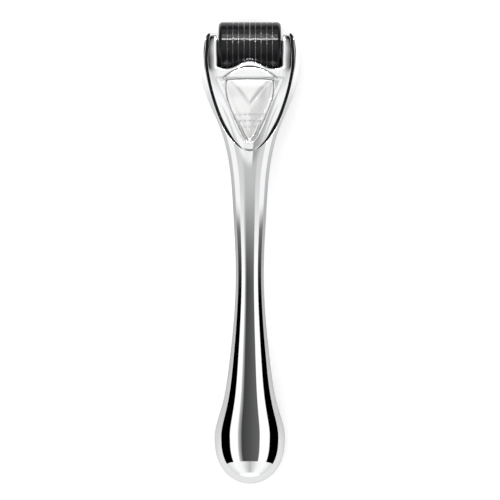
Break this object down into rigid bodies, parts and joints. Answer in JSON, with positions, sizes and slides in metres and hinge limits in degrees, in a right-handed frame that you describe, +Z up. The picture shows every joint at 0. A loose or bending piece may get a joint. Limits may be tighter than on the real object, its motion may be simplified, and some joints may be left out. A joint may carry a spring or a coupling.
{
  "type": "derma roller",
  "caption": "Handheld skin roller: a slim plated handle with a shield-shaped thumb rest, and a black drum of needle discs that turns freely on an axle between two arms.",
  "frame": {"origin": "on the surface it lies on, under the centre of the bounding box", "axes": "+Z up out of the thumb pad's side, +Y along the handle towards the drum, +X across the handle"},
  "size_m": [0.0328, 0.15, 0.0218],
  "materials": {
    "plated_chrome": "bright chrome plating on moulded plastic",
    "pearl_plastic": "pale pearl, satin",
    "black_plastic": "black, gloss",
    "needle_steel": "etched stainless steel",
    "axle_steel": "ground stainless steel",
    "white_acetal": "natural white acetal"
  },
  "bodies": {
    "handle": {"handle_front_shell": "plated_chrome", "handle_back_shell": "plated_chrome", "head_cover": "plated_chrome", "thumb_pad": "pearl_plastic", "axle_pin": "axle_steel", "washer_left": "axle_steel", "washer_right": "axle_steel"},
    "drum": {"drum_hub": "black_plastic", "bush_left": "white_acetal", "bush_right": "white_acetal", "end_cap_left": "black_plastic", "end_cap_right": "black_plastic", "needle_disc_1": "needle_steel", "needle_disc_2": "needle_steel", "needle_disc_3": "needle_steel", "needle_disc_4": "needle_steel", "needle_disc_5": "needle_steel", "needle_disc_6": "needle_steel", "needle_disc_7": "needle_steel", "needle_disc_8": "needle_steel", "needle_disc_9": "needle_steel", "spacer_1": "black_plastic", "spacer_2": "black_plastic", "spacer_3": "black_plastic", "spacer_4": "black_plastic", "spacer_5": "black_plastic", "spacer_6": "black_plastic", "spacer_7": "black_plastic", "spacer_8": "black_plastic"}
  },
  "joints": [
    {"name": "drum_spin", "type": "hinge", "parent": "handle", "child": "drum", "pos_m": [0, 0.06585, 0.00915], "axis": [1, 0, 0], "continuous": true}
  ]
}
